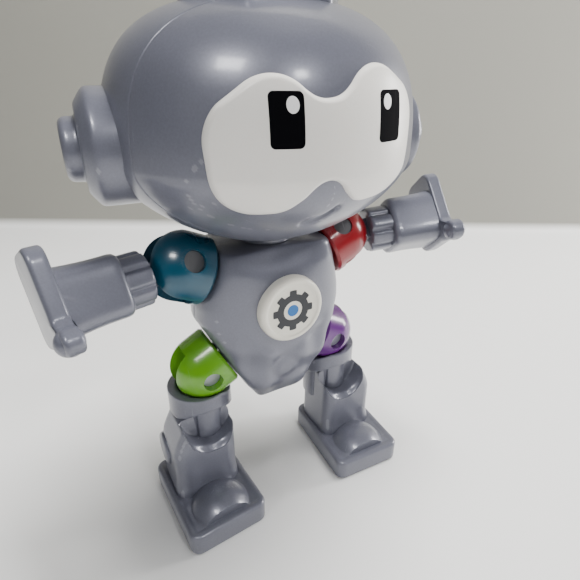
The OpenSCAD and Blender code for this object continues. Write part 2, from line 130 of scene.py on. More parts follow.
# even steps along a closed outline, then a light smoothing: each point becomes the mean of its
# neighbours within "soft" steps
def evenOutline(points, count, soft=0):
    p = np.array(points, float)
    q = np.vstack([p, p[:1]])
    step = np.linalg.norm(np.diff(q, axis=0), axis=1)
    along = np.concatenate([[0], np.cumsum(step)])
    t = np.linspace(0, along[-1], count, endpoint=False)
    out = np.stack([np.interp(t, along, q[:, 0]), np.interp(t, along, q[:, 1])], -1)
    for _ in range(soft):
        out = (np.roll(out, 1, 0) + out * 2 + np.roll(out, -1, 0)) / 4
    return out

# inward normals of a closed outline, from the difference of each point's neighbours
def inward(outline):
    d = np.roll(outline, -1, 0) - np.roll(outline, 1, 0)
    n = np.stack([-d[:, 1], d[:, 0]], -1)
    n /= np.linalg.norm(n, axis=1)[:, None] + 1e-9
    x, y = outline.T
    area = np.sum(x * np.roll(y, -1) - y * np.roll(x, -1))
    return n if area > 0 else -n

# rectangle whose corners are quarter circles of radius r, walked round in even steps
def roundRect(x0, x1, y0, y1, r, count=160):
    a = np.radians(np.arange(0, 90, 6))
    corner = np.stack([np.cos(a), np.sin(a)], -1) * r
    turns = [(x1 - r, y1 - r, 0), (x0 + r, y1 - r, 1), (x0 + r, y0 + r, 2), (x1 - r, y0 + r, 3)]
    out = []
    for cx, cy, k in turns:
        c, s = math.cos(k * quarterTurn), math.sin(k * quarterTurn)
        out.append(corner @ np.array([[c, s], [-s, c]]) + (cx, cy))
    return evenOutline(np.vstack(out), count)

# an outline pushed up from z0 to z1, both rims rolled over by quarter circles of radius r0 and r1
def softPrism(outline, z0, z1, r0, r1, walls=4):
    n = inward(outline)
    rows = []
    for t in np.linspace(0, 1, 6):
        a = t * quarterTurn
        ring = outline + n * r0 * (1 - math.sin(a))
        rows.append(np.column_stack([ring, np.full(len(ring), z0 + r0 * (1 - math.cos(a)))]))
    for z in np.linspace(z0 + r0, z1 - r1, walls + 2)[1:-1]:
        rows.append(np.column_stack([outline, np.full(len(outline), z)]))
    for t in np.linspace(0, 1, 7):
        a = t * quarterTurn
        ring = outline + n * r1 * (1 - math.cos(a))
        rows.append(np.column_stack([ring, np.full(len(ring), z1 - r1 + r1 * math.sin(a))]))
    return tube(np.array(rows))

# a profile of (radius, height) points turned about Z, corners rounded by cutting them twice
def lathe(profile, count=128, soften=2):
    p = np.array(profile, float)
    for _ in range(soften):
        d = np.linalg.norm(p[1:] - p[:-1], axis=1)
        cut = np.minimum(0.25, 0.35 / (d + 1e-9))[:, None]
        a = p[:-1] * (1 - cut) + p[1:] * cut
        b = p[:-1] * cut + p[1:] * (1 - cut)
        p = np.vstack([p[:1], np.stack([a, b], 1).reshape(-1, 2), p[-1:]])
    u = np.linspace(0, fullTurn, count, endpoint=False)
    rows = np.stack([p[:, :1] * np.cos(u), p[:, :1] * np.sin(u), np.repeat(p[:, 1:], count, 1)], -1)
    return tube(rows)

# 3t^2 - 2t^3, level at both ends
def smoothStep(x, lo, hi):
    t = np.clip((x - lo) / (hi - lo), 0, 1)
    return t * t * (3 - 2 * t)

print("finishes")

def newGroup(name, inputs, outputs):
    g = bpy.data.node_groups.new(name, "ShaderNodeTree")
    for label, kind, value in inputs:
        s = g.interface.new_socket(label, in_out="INPUT", socket_type=kind)
        s.default_value = value
    for label, kind in outputs:
        g.interface.new_socket(label, in_out="OUTPUT", socket_type=kind)
    return g, g.nodes.new("NodeGroupInput"), g.nodes.new("NodeGroupOutput")

def node(tree, kind, **values):
    n = tree.nodes.new(kind)
    for k, v in values.items():
        if k.startswith("in_"):
            n.inputs[k[3:].replace("_", " ")].default_value = v
        else:
            setattr(n, k, v)
    return n

def math2(tree, op, a, b, clamp=False):
    n = tree.nodes.new("ShaderNodeMath"); n.operation = op; n.use_clamp = clamp
    for k, v in enumerate((a, b)):
        if isinstance(v, (int, float)):
            n.inputs[k].default_value = v
        elif v is not None:
            tree.links.new(v, n.inputs[k])
    return n.outputs[0]

def blendColours(tree, factor, a, b, mode="MIX"):
    n = tree.nodes.new("ShaderNodeMix"); n.data_type = "RGBA"; n.blend_type = mode
    for socket, v in ((n.inputs[0], factor), (n.inputs[6], a), (n.inputs[7], b)):
        if isinstance(v, (int, float, tuple)):
            socket.default_value = v
        else:
            tree.links.new(v, socket)
    return n.outputs[2]

def ramp(tree, value, lo, hi):
    n = tree.nodes.new("ShaderNodeMapRange"); n.clamp = True
    tree.links.new(value, n.inputs["Value"])
    n.inputs["From Min"].default_value = lo
    n.inputs["From Max"].default_value = hi
    return n.outputs["Result"]

# moulded plastic: slow cloudiness from the mould, fine pearl grain, hairline scuffs, rubbed edges
def mouldedPlastic():
    g, inp, out = newGroup("mouldedPlastic",
        [("Colour", "NodeSocketColor", (0.5, 0.5, 0.5, 1)), ("Rough", "NodeSocketFloat", 0.3),
         ("Cloud", "NodeSocketFloat", 0.1), ("Grain", "NodeSocketFloat", 0.1),
         ("Scuff", "NodeSocketFloat", 0.3), ("Edge", "NodeSocketFloat", 0.3)],
        [("Colour", "NodeSocketColor"), ("Rough", "NodeSocketFloat"), ("Height", "NodeSocketFloat")])
    link = g.links.new
    coord = node(g, "ShaderNodeTexCoord")
    cloud = node(g, "ShaderNodeTexNoise", in_Scale=55.0, in_Detail=3.0)
    fine = node(g, "ShaderNodeTexNoise", in_Scale=2600.0, in_Detail=2.0)
    orange = node(g, "ShaderNodeTexNoise", in_Scale=420.0, in_Detail=2.0)
    for n in (cloud, fine, orange):
        link(coord.outputs["Object"], n.inputs["Vector"])
    hair = []
    for turnBy, scale in (((0.4, 0.2, 0.9), (90, 1500, 90)), ((1.2, 0.7, 0.1), (1300, 70, 110))):
        m = node(g, "ShaderNodeMapping", in_Rotation=turnBy, in_Scale=scale)
        link(coord.outputs["Object"], m.inputs["Vector"])
        n = node(g, "ShaderNodeTexNoise", in_Scale=1.0, in_Detail=2.0)
        link(m.outputs[0], n.inputs["Vector"])
        hair.append(ramp(g, n.outputs["Fac"], 0.69, 0.74))
    patch = node(g, "ShaderNodeTexNoise", in_Scale=95.0, in_Detail=2.0)
    link(coord.outputs["Object"], patch.inputs["Vector"])
    where = ramp(g, patch.outputs["Fac"], 0.5, 0.68)
    scratch = math2(g, "MULTIPLY", math2(g, "MAXIMUM", hair[0], hair[1]), where)
    scratch = math2(g, "MULTIPLY", scratch, inp.outputs["Scuff"])
    geo = node(g, "ShaderNodeNewGeometry")
    edge = math2(g, "MULTIPLY", ramp(g, geo.outputs["Pointiness"], 0.53, 0.62), inp.outputs["Edge"])
    cloudSwing = math2(g, "SUBTRACT", cloud.outputs["Fac"], 0.5)
    grainSwing = math2(g, "SUBTRACT", fine.outputs["Fac"], 0.5)
    light = math2(g, "ADD", math2(g, "MULTIPLY", cloudSwing, inp.outputs["Cloud"]), 1.0)
    grain = math2(g, "ADD", math2(g, "MULTIPLY", grainSwing, inp.outputs["Grain"]), light)
    colour = node(g, "ShaderNodeVectorMath", operation="SCALE")
    link(inp.outputs["Colour"], colour.inputs[0])
    link(grain, colour.inputs["Scale"])
    worn = math2(g, "ADD", math2(g, "MULTIPLY", scratch, 0.35), math2(g, "MULTIPLY", edge, 0.35), True)
    link(blendColours(g, worn, colour.outputs[0], (0.85, 0.85, 0.86, 1)), out.inputs["Colour"])
    rough = math2(g, "ADD", inp.outputs["Rough"], math2(g, "MULTIPLY", cloudSwing, 0.12))
    link(math2(g, "ADD", rough, math2(g, "MULTIPLY", scratch, 0.3), True), out.inputs["Rough"])
    height = math2(g, "SUBTRACT", math2(g, "MULTIPLY", orange.outputs["Fac"], 0.5),
                   math2(g, "MULTIPLY", scratch, 0.5))
    link(math2(g, "ADD", height, math2(g, "MULTIPLY", fine.outputs["Fac"], 0.08)), out.inputs["Height"])
    return g

plasticGroup = mouldedPlastic()

def makeFinish(name, colour, rough=0.3, metal=0.0, coat=0.3, coatRough=0.1, cloud=0.12, grain=0.1,
               scuff=0.3, edge=0.3, bump=0.05, scatter=0.0, shine=0.5):
    m = bpy.data.materials.new(name)
    m.use_nodes = True
    t = m.node_tree
    shader = t.nodes["Principled BSDF"]
    g = t.nodes.new("ShaderNodeGroup"); g.node_tree = plasticGroup
    for k, v in (("Colour", (*colour, 1)), ("Rough", rough), ("Cloud", cloud), ("Grain", grain),
                 ("Scuff", scuff), ("Edge", edge)):
        g.inputs[k].default_value = v
    t.links.new(g.outputs["Colour"], shader.inputs["Base Color"])
    t.links.new(g.outputs["Rough"], shader.inputs["Roughness"])
    b = t.nodes.new("ShaderNodeBump")
    b.inputs["Strength"].default_value = bump
    b.inputs["Distance"].default_value = 0.0004
    t.links.new(g.outputs["Height"], b.inputs["Height"])
    t.links.new(b.outputs["Normal"], shader.inputs["Normal"])
    shader.inputs["Metallic"].default_value = metal
    shader.inputs["Coat Weight"].default_value = coat
    shader.inputs["Specular IOR Level"].default_value = shine
    shader.inputs["Coat Roughness"].default_value = coatRough
    if scatter:
        shader.inputs["Subsurface Weight"].default_value = scatter
        shader.inputs["Subsurface Radius"].default_value = (0.0012, 0.001, 0.0009)
        shader.inputs["Subsurface Scale"].default_value = 1.0
    return m

pearlGrey = makeFinish("pearlGrey", (0.15, 0.155, 0.195), rough=0.36, metal=0.30, coat=0.45,
    coatRough=0.14, cloud=0.16, grain=0.26, scuff=0.18, edge=0.3, bump=0.08)
plateWhite = makeFinish("plateWhite", (0.80, 0.775, 0.735), rough=0.36, coat=0.2, coatRough=0.2,
    cloud=0.06, grain=0.04, scuff=0.0, edge=0.0, bump=0.07, scatter=0.06)
badgeIvory = makeFinish("badgeIvory", (0.80, 0.77, 0.68), rough=0.36, coat=0.25, cloud=0.06, grain=0.04,
    scuff=0.3, edge=0.0, bump=0.06, scatter=0.05)
printBlack = makeFinish("printBlack", (0.002, 0.002, 0.003), rough=0.7, coat=0.0, shine=0.03, cloud=0.1,
    grain=0.1, scuff=0.03, edge=0.0, bump=0.05)
printWhite = makeFinish("printWhite", (0.82, 0.82, 0.82), rough=0.45, coat=0.1, cloud=0.05, grain=0.05,
    scuff=0.0, edge=0.0, bump=0.05)
printGrey = makeFinish("printGrey", (0.02, 0.022, 0.028), rough=0.5, coat=0.0, cloud=0.1, grain=0.1,
    scuff=0.2, edge=0.0, bump=0.05)
printBlue = makeFinish("printBlue", (0.01, 0.14, 0.42), rough=0.45, coat=0.0, cloud=0.1, grain=0.1,
    scuff=0.2, edge=0.0, bump=0.05)
jointBlue = makeFinish("jointBlue", (0.0, 0.062, 0.11), rough=0.28, coat=0.4, cloud=0.1, grain=0.06,
    scuff=0.3, edge=0.15, bump=0.07, scatter=0.04)
jointRed = makeFinish("jointRed", (0.28, 0.002, 0.008), rough=0.28, coat=0.4, cloud=0.1, grain=0.06,
    scuff=0.3, edge=0.1, bump=0.07, scatter=0.04)
jointGreen = makeFinish("jointGreen", (0.12, 0.36, 0.0), rough=0.25, coat=0.4, cloud=0.08, grain=0.05,
    scuff=0.2, edge=0.1, bump=0.06, scatter=0.08)
jointPurple = makeFinish("jointPurple", (0.11, 0.008, 0.18), rough=0.26, coat=0.4, cloud=0.08,
    grain=0.05, scuff=0.2, edge=0.1, bump=0.06, scatter=0.04)
pinDark = makeFinish("pinDark", (0.030, 0.032, 0.038), rough=0.45, coat=0.05, cloud=0.2, grain=0.2,
    scuff=0.5, edge=0.3, bump=0.1)
pinGrey = makeFinish("pinGrey", (0.36, 0.37, 0.42), rough=0.35, metal=0.2, coat=0.2, cloud=0.2,
    grain=0.2, scuff=0.5, edge=0.3, bump=0.1)
screwSteel = makeFinish("screwSteel", (0.52, 0.52, 0.54), rough=0.32, metal=1.0, coat=0.0, cloud=0.2,
    grain=0.3, scuff=0.8, edge=0.5, bump=0.12)

for name, finish in (("neck_post", pearlGrey), ("head_screws", screwSteel), ("torso_screws", screwSteel),
                     ("shoulder_joint_right", jointBlue), ("shoulder_joint_left", jointRed),
                     ("hip_joint_right", jointGreen), ("hip_joint_left", jointPurple),
                     ("shoulder_pin_right", pinDark), ("shoulder_pin_left", pinDark),
                     ("hip_pin_right", pinGrey), ("hip_pin_left", pinGrey)):
    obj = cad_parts[name]
    if not len(obj.material_slots):
        obj.data.materials.append(finish)
    for s in obj.material_slots:
        s.material = finish

print("head")
head = dict(halfWide=30.6, halfDeep=28.3, wideZ=84.0, up=26.4, down=18.6, roundUp=2.8, roundDown=1.65,
            low=65.9, seamY=-12.5, yaw=-5.0, proud=0.9,
            seamGap=0.012, wellX=15.0, wellZ=88.0, wellR=2.3, wellFloor=-6.1)
headTurn = turn("z", head["yaw"])

# rounded head: (sqrt((x/w)^2 + (y/d)^2))^e + (|z|/h)^e = 1, with its own h and e above and below
# the widest line; at depth y and angle a about Y the distance s is found by halving steps
def headRing(y, angle, grow):
    c, s = np.cos(angle), np.sin(angle)
    up = s >= 0
    e = np.where(up, head["roundUp"], head["roundDown"])
    high = np.where(up, head["up"], head["down"]) + grow
    q = np.clip(np.abs(y) / (head["halfDeep"] + grow), 0, 1)
    lo, hi = np.zeros(np.broadcast(y, angle).shape), np.full(np.broadcast(y, angle).shape, 1.6)
    for _ in range(42):
        mid = (lo + hi) / 2
        inside = ((mid * c) ** 2 + q * q) ** (e / 2) + (mid * np.abs(s)) ** e < 1
        lo, hi = np.where(inside, mid, lo), np.where(inside, hi, mid)
    flat = (head["wideZ"] - head["low"] + np.minimum(grow, 0)) / (high * np.maximum(-s, 1e-6))
    d = np.minimum(lo, flat)
    return np.stack([d * c * (head["halfWide"] + grow), y + 0 * d, head["wideZ"] + d * s * high], -1)

# depth of the head's front at (x, z), grown by g
def headFront(x, z, g):
    dz = z - head["wideZ"]
    up = dz >= 0
    e = np.where(up, head["roundUp"], head["roundDown"])
    h = np.where(up, head["up"], head["down"]) + g
    ring = np.clip(1 - (np.abs(dz) / h) ** e, 0, 1) ** (2 / e)
    return -(head["halfDeep"] + g) * np.sqrt(np.clip(ring - (x / (head["halfWide"] + g)) ** 2, 1e-6, 1))

ringAngles = np.linspace(0, fullTurn, 320, endpoint=False)
smileLine = dict(start=(-1.4, 74.9), end=(3.4, 77.6), sag=0.7, wide=0.75, deep=1.0)

# front and back shells: the head's rings from pole to seam, the seam's edge turned in by a short lip
def headShells():
    k = head["halfDeep"]
    seam = math.acos(-head["seamY"] / k)
    a = ringAngles[None, :]
    y = -k * np.cos(np.linspace(0.004, seam - head["seamGap"], 130))[:, None]
    front = headRing(y, a, np.zeros_like(y))
    # smile: a groove whose depth falls off as a bell curve with the distance from a sagging line
    (x0, z0), (x1, z1) = smileLine["start"], smileLine["end"]
    t = np.clip((front[..., 0] - x0) / (x1 - x0), 0, 1)
    lineX = x0 + t * (x1 - x0)
    lineZ = z0 + t * (z1 - z0) - smileLine["sag"] * 4 * t * (1 - t)
    d2 = (front[..., 0] - lineX) ** 2 + (front[..., 2] - lineZ) ** 2
    front[..., 1] += smileLine["deep"] * np.exp(-d2 / smileLine["wide"] ** 2)
    lips = [headRing(np.full((1, 1), head["seamY"] + dy), a, np.full((1, 1), g))[0]
            for dy, g in ((-0.22, 0.0), (-0.1, -0.08), (-0.04, -0.25), (-0.04, -1.6))]
    frontPart = tube(np.concatenate([front, np.array(lips)]), startAt=(0, -k, head["wideZ"]))
    y = -k * np.cos(np.linspace(seam + head["seamGap"], math.pi - 0.004, 190))[:, None]
    back = headRing(y, a, np.zeros_like(y))
    lips = [headRing(np.full((1, 1), head["seamY"] + dy), a, np.full((1, 1), g))[0]
            for dy, g in ((0.04, -1.6), (0.04, -0.25), (0.1, -0.08), (0.22, 0.0))]
    rows = np.concatenate([np.array(lips), back])
    for x in (-head["wellX"], head["wellX"]):
        sinkHole(rows, x, head["wellZ"], head["wellR"], head["wellFloor"], 0.45)
    backPart = tube(rows, endAt=(0, k, head["wideZ"]))
    return carry(frontPart, headTurn), carry(backPart, headTurn)

# screw well in a back face: points near the rim snap to the circle, points inside drop to the floor
def sinkHole(rows, x, z, r, floorY, step):
    dx, dz = rows[..., 0] - x, rows[..., 2] - z
    d = np.hypot(dx, dz)
    behind = rows[..., 1] > 0
    rim = behind & (np.abs(d - r) <= step * 0.75)
    deep = behind & (d < r - step * 0.75)
    edge = deep & (d > r - step * 2)
    for mask, size in ((rim, r), (edge, r * 0.97)):
        rows[..., 0] = np.where(mask, x + dx / np.maximum(d, 1e-6) * size, rows[..., 0])
        rows[..., 2] = np.where(mask, z + dz / np.maximum(d, 1e-6) * size, rows[..., 2])
    rows[..., 1] = np.where(deep, floorY, rows[..., 1])

frontShell, backShell = headShells()
makePiece("headFront", [frontShell], pearlGrey, "head", ["head_front_shell"])
makePiece("headBack", [backShell], pearlGrey, "head", ["head_back_shell"])

# points on a circle from angle a0 to a1
def arc(cx, cz, r, a0, a1, n=8):
    a = np.radians(np.linspace(a0, a1, n + 1))
    return [(cx + r * math.cos(t), cz + r * math.sin(t)) for t in a]

# sheet wrapped on the head's front: the outline shrinks inwards in rings, each ring grown by the
# edge's quarter circle, then straight to the middle
def faceSheet(outline, middle, proud, sink, r):
    n = inward(outline)
    rows = [(outline, sink)]
    for t in np.linspace(0, 1, 9):
        a = t * quarterTurn
        rows.append((outline + n * r * (1 - math.cos(a)), sink + (proud - sink) * math.sin(a)))
    last = rows[-1][0]
    for t in np.linspace(0, 0.97, 34)[1:]:
        rows.append((last + (np.array(middle) - last) * t, proud))
    front = np.array([np.column_stack([o[:, 0], headFront(o[:, 0], o[:, 1], g), o[:, 1]]) for o, g in rows])
    o = rows[0][0]
    inner = np.array([np.column_stack([p[:, 0], headFront(p[:, 0], p[:, 1], sink - 0.25), p[:, 1]])
                      for p in [np.array(middle) + (o - middle) * t for t in np.linspace(0.05, 1, 14)]])
    return tube(np.concatenate([inner, front]))

# goggle plate: a brow arc, a side arc and a cheek arc on each side, with a notch above and one below
plate = dict(middle=(0.0, 89.3), edge=0.75, sink=-0.15, leanUp=0.085, leanDown=0.045, leanFrom=6.0)
half = [(0, 95.2), (1.3, 95.3), (2.6, 95.8), (3.5, 96.5)] + arc(9, 92.6, 6.6, 142, 62) \
    + arc(10.8, 90.4, 7.6, 45, 0) + arc(10.5, 86.2, 7.6, 0, -90) + arc(8.2, 83, 4.4, -90, -135) \
    + [(3.6, 81.2), (2.6, 82.5), (1.4, 83.4), (0, 83.7)]
plateOutline = evenOutline(half + [(-x, z) for x, z in half[-2:0:-1]], 320, 3)
# the plate sits slightly askew: z rises with x by leanUp above its middle, and by leanDown below it
above = smoothStep(plateOutline[:, 1], 86.0, 91.0)
plateOutline[:, 1] += above * plate["leanUp"] * plateOutline[:, 0] \
    + (1 - above) * plate["leanDown"] * (plateOutline[:, 0] - plate["leanFrom"])
plateSheet = faceSheet(plateOutline, plate["middle"], head["proud"], plate["sink"], plate["edge"])
makePiece("facePlate", [carry(plateSheet, headTurn)], plateWhite, "head", ["face_plate"])

eyes = dict(pupils=((-9.7, -4.6), (9.0, 14.1)), low=88.5, high=96.2, corner=0.8,
            glints=((-6.3, 94.4), (10.7, 94.5)), glintHalf=(0.95, 1.15),
            pupilInk=(0.96, 0.88, 0.08), glintInk=(1.0, 0.94, 0.06))  # proud, sink and edge of each print
for side, (x0, x1), (gx, gz) in zip(("Right", "Left"), eyes["pupils"], eyes["glints"]):
    o = roundRect(x0, x1, eyes["low"], eyes["high"], eyes["corner"], 120)
    middle = ((x0 + x1) / 2, (eyes["low"] + eyes["high"]) / 2)
    makePiece("pupil" + side, [carry(faceSheet(o, middle, *eyes["pupilInk"]), headTurn)],
              printBlack, "head", ())
    a = np.linspace(0, fullTurn, 64, endpoint=False)
    o = np.stack([gx + eyes["glintHalf"][0] * np.cos(a), gz + eyes["glintHalf"][1] * np.sin(a)], -1)
    makePiece("glint" + side, [carry(faceSheet(o, (gx, gz), *eyes["glintInk"]), headTurn)],
              printWhite, "head", ())

crown = dict(plan=[(-7.5, -13.6), (7.5, -13.6), (15, -2.5), (15, 1),
                   (7.5, 11.4), (-7.5, 11.4), (-15, 1), (-15, -2.5)],
             base=104.0, top=114.8, rim=1.1)
crownPart = softPrism(evenOutline(crown["plan"], 240, 8), crown["base"], crown["top"], 0.2, crown["rim"], 10)
makePiece("crownBlock", [carry(crownPart, headTurn)], pearlGrey, "head", ["crown_block"])

ear = dict(r=10.2, reach=37.4, boss=5.5, z=86.0)
r, reach, boss = ear["r"], ear["reach"], ear["boss"]
# ear drum: wall, sloping shoulder, then the round boss in its middle
earPart = lathe([(0, 22), (r - 0.1, 22), (r, 30), (r, reach - 5.2), (r - 0.5, reach - 4.5),
                 (boss + 2.1, reach - 3.0), (boss + 1.4, reach - 2.9), (boss + 0.3, reach - 2.9),
                 (boss, reach - 2.6), (boss, reach - 0.8), (boss - 0.8, reach), (boss - 2, reach),
                 (0.01, reach)], 144)
earPlace = move(0, 0, ear["z"]) @ turn("y", 90)
makePiece("earLeft", [carry(earPart, headTurn @ earPlace)], pearlGrey, "head", ["ear_left"])
makePiece("earRight", [carry(earPart, headTurn @ mirrorX @ earPlace)], pearlGrey, "head", ["ear_right"])

print("torso")
torso = dict(top=65.0, low=25.0, planWide=20.4, planDeep=12.3, sharp=9, lowRound=1.2, topRound=0.9,
             sides=[(24.0, 3.4), (25.2, 5.6), (30.47, 9.0), (44.59, 16.51), (48.39, 19.04), (52.19, 18.54),
                    (65.0, 12.84)],
             front=[(24.0, 5.8), (27.0, 8.0), (31.0, 10.0), (37.0, 11.6), (45.0, 12.6), (57.0, 12.6),
                    (61.0, 11.6), (65.0, 9.2)],
             back=[(24.0, 4.5), (31.0, 9.0), (45.0, 11.2), (57.0, 11.2), (65.0, 8.6)],
             fold=0.8, dish=1.5, badgeZ=52.0, screwZ=35.0,
             wells=((-5.5, 54.0), (5.5, 54.0), (0.0, 35.0)), wellR=2.3, wellFloor=8.2)

# height profiles are read off straight lines and softened over half a millimetre
def softened(z, table):
    t = np.array(table)
    steps = np.linspace(-0.6, 0.6, 9)
    return np.mean([np.interp(z + d, t[:, 0], t[:, 1]) for d in steps], 0)

# body section at height z: distance out along angle a is (sum of limit^-p)^(-1/p) over the side
# planes, the front or back plane and the oval plan, which rounds every edge between them
def torsoHalf(frontSide):
    q, low, top = np.linspace(0, quarterTurn, 7), torso["lowRound"], torso["topRound"]
    z = np.concatenate([torso["low"] + low * (1 - np.cos(q))[:-1],
                        np.linspace(torso["low"] + low, torso["top"] - top, 150),
                        torso["top"] - top * (1 - np.sin(q))[1:]])
    lowIn = np.concatenate([2.0 * (1 - np.sin(q))[:-1], np.zeros(150), top * (1 - np.cos(q))[1:]])[:, None]
    a = np.linspace(0.002, math.pi - 0.002, 200)[None, :]
    wide = softened(z, torso["sides"])[:, None]
    deep = softened(z, torso["front"] if frontSide else torso["back"])[:, None]
    c, s, p = np.abs(np.cos(a)) + 1e-6, np.abs(np.sin(a)) + 1e-6, torso["sharp"]
    oval = 1 / np.sqrt((c / torso["planWide"]) ** 2 + (s / torso["planDeep"]) ** 2)
    flat = ((c / wide) ** p + (s / deep) ** p + (1 / oval) ** p) ** (-1 / p)
    d = np.maximum(flat - lowIn, 0.5)
    sign = -1 if frontSide else 1
    x = d * np.cos(a)
    y = sign * np.maximum(d * np.sin(a), 0.04)
    rows = np.stack([x, y, z[:, None] + 0 * a], -1)
    if frontSide:
        # moulded folds below the badge (two crossing sine waves) and a dish under the neck (a bell)
        clear = smoothStep(np.hypot(x, rows[..., 2] - torso["badgeZ"]), 9.5, 13.0)
        clear *= smoothStep(-y, 1.5, 5.0)
        below = smoothStep(50.0 - rows[..., 2], 0.0, 8.0) * smoothStep(rows[..., 2], 25.0, 29.0)
        fold = np.sin(0.46 * x + 0.30 * rows[..., 2] + 0.8) * np.sin(0.30 * rows[..., 2] - 0.26 * x + 0.4)
        dish = np.exp(-(x / 7.0) ** 2 - ((rows[..., 2] - 64.5) / 3.6) ** 2)
        # the plastic over the low screw's tip stays flat
        solid = smoothStep(np.hypot(x, rows[..., 2] - torso["screwZ"]), 1.5, 4.5)
        rows[..., 1] += clear * solid * (torso["fold"] * below * (0.3 + fold)) + torso["dish"] * dish
    # the parting line's edges are eased a little
    ease = 0.16 * np.exp(-(np.abs(y) / 0.22) ** 2)
    rows[..., 0] -= np.sign(x) * ease
    if not frontSide:
        for hx, hz in torso["wells"]:
            sinkHole(rows, hx, hz, torso["wellR"], torso["wellFloor"], 0.32)
    return tube(rows)

makePiece("torsoFront", [torsoHalf(True)], pearlGrey, "torso", ["torso_front_shell"])
makePiece("torsoBack", [torsoHalf(False)], pearlGrey, "torso", ["torso_back_shell"])

badge = dict(r=7.7, z=torso["badgeZ"], back=-11.1, thick=2.4, gearOut=4.9, gearIn=3.9, gearHole=2.3, hub=1.35)
toFront = move(0, badge["back"], badge["z"]) @ turn("x", 90)
br, bt = badge["r"], badge["thick"]
disc = lathe([(0.01, -0.5), (br, -0.5), (br, bt - 0.6), (br - 0.5, bt), (br - 1.2, bt),
              (br - 1.5, bt - 0.22), (br - 2, bt - 0.25), (0.01, bt - 0.25)], 160)
makePiece("badgeDisc", [carry(disc, toFront)], badgeIvory, "torso", ["badge"])
# plain gear: the rim's radius steps between two values eight times round, with soft flanks
u = np.linspace(0, fullTurn, 256, endpoint=False)
tooth = smoothStep(np.cos(8 * u), -0.25, 0.25)
gearR = badge["gearIn"] + (badge["gearOut"] - badge["gearIn"]) * tooth
faceZ = bt - 0.25
holeR = np.full_like(u, badge["gearHole"])
inkLow, inkHigh = faceZ - 0.1, faceZ + 0.06
ring = np.array([np.stack([rr * np.cos(u), rr * np.sin(u), np.full_like(u, zz)], -1)
                 for rr, zz in ((holeR, inkLow), (holeR, inkHigh), (gearR, inkHigh), (gearR, inkLow))])
makePiece("gearPrint", [carry(tube(ring, loopRows=True), toFront)], printGrey, "torso", ())
hub = lathe([(0.01, inkLow), (badge["hub"], inkLow), (badge["hub"], inkHigh), (0.01, inkHigh)], 64, 0)
makePiece("gearHub", [carry(hub, toFront)], printBlue, "torso", ())

print("arms")
arm = dict(tab=4.6, tabR=3.4, neckHalf=2.6, cuffFrom=7.9, cuffR=5.6, cuffLen=5.3, flutes=8, fluteDeep=0.62,
           elbow=6.3, wrist=6.6, length=24.4, square=4.2, hand=3.3, palmUp=10.6, palmDown=7.6,
           palmFront=7.0, palmBack=6.4, thumb=(1.9, -8.6, -6.2), thumbR=2.5)

# tab: a round end joined to a straight neck, pushed across the slot
def tabPart(reach, tab, r, neckHalf):
    a = np.radians(np.linspace(40, 320, 40))
    o = [(r * math.cos(t), r * math.sin(t)) for t in a] + [(reach, -neckHalf), (reach, neckHalf)]
    return carry(softPrism(evenOutline(o, 120), -tab / 2, tab / 2, 0.15, 0.15), turn("x", 90))

# forearm section around the arm: distance s*(|cos|^e + |sin|^e)^(-1/e), a square with full corners
def sleeve():
    x0, x1 = arm["cuffFrom"] + arm["cuffLen"], arm["length"] + 0.3
    t = np.concatenate([[0, 0.015, 0.05, 0.1], np.linspace(0.16, 1, 26)])
    ease = np.array([0.9, 0.45, 0.15, 0.03] + [0] * 26)
    x = x0 + (x1 - x0) * t
    mid = 0.22 * np.sin(math.pi * t)
    s = arm["elbow"] + (arm["wrist"] - arm["elbow"]) * t - mid - ease
    a = np.linspace(0, fullTurn, 160, endpoint=False)
    e = arm["square"]
    d = (np.abs(np.cos(a)) ** e + np.abs(np.sin(a)) ** e) ** (-1 / e)
    return tube(np.stack([x[:, None] + 0 * a, s[:, None] * d * np.sin(a), s[:, None] * d * np.cos(a)], -1))

# fluted cuff: radius less a bell-shaped dip at each flute
def cuff():
    x = np.array([0, 0.05, 0.25, 0.6, 1.2, 2.2, 3.4, 4.6, 5.4]) + arm["cuffFrom"]
    inset = np.array([0.75, 0.4, 0.12, 0, 0, 0, 0, 0, 0])
    a = np.linspace(0, fullTurn, 256, endpoint=False)
    near = (a * arm["flutes"] / (fullTurn) - 0.5) % 1
    dip = arm["fluteDeep"] * np.exp(-((np.minimum(near, 1 - near)) / 0.13) ** 2)
    r = arm["cuffR"] - inset[:, None] - dip * np.minimum(1, 0.4 + 0.3 * np.arange(9))[:, None]
    return tube(np.stack([x[:, None] + 0 * a, r * np.sin(a), r * np.cos(a)], -1))

# hand: a soft four-sided palm with a round thumb low in front, its outline made of arcs; here the
# first value runs down the hand and the second backwards
def handPart():
    f, b, up, dn = arm["palmFront"], arm["palmBack"], arm["palmUp"], arm["palmDown"]
    o = arc(dn - 3, b - 3, 3, 0, 90) + arc(4.2 - up, b - 4.2, 4.2, 90, 180) + arc(3 - up, 3 - f, 3, 180, 265) \
        + [(2.6, -f)] + arc(6.2, -9.2, 2.4, 165, 385, 14) + [(dn, -4.0)]
    outline = evenOutline(o, 240, 6)
    return carry(softPrism(outline, 0, arm["hand"], 0.7, 0.8), move(arm["length"], 0, 0) @ turn("y", 90))

# thumb ball: a half circle of radius r turned about Z
def ballPart(x, y, z, r):
    t = np.radians(np.linspace(1, 179, 30))
    return carry(lathe(np.stack([r * np.sin(t), -r * np.cos(t)], -1), 48, 0), move(x, y, z))

armParts = [tabPart(arm["cuffFrom"] + 1, arm["tab"], arm["tabR"], arm["neckHalf"]), cuff(), sleeve(), handPart(),
            carry(ballPart(*arm["thumb"], arm["thumbR"]), move(arm["length"], 0, 0))]
shoulder = dict(x=20.0, z=61.7, tilt=24.0, swivelRight=28.0, swivelLeft=43.0, fallRight=28.0, fallLeft=24.0)

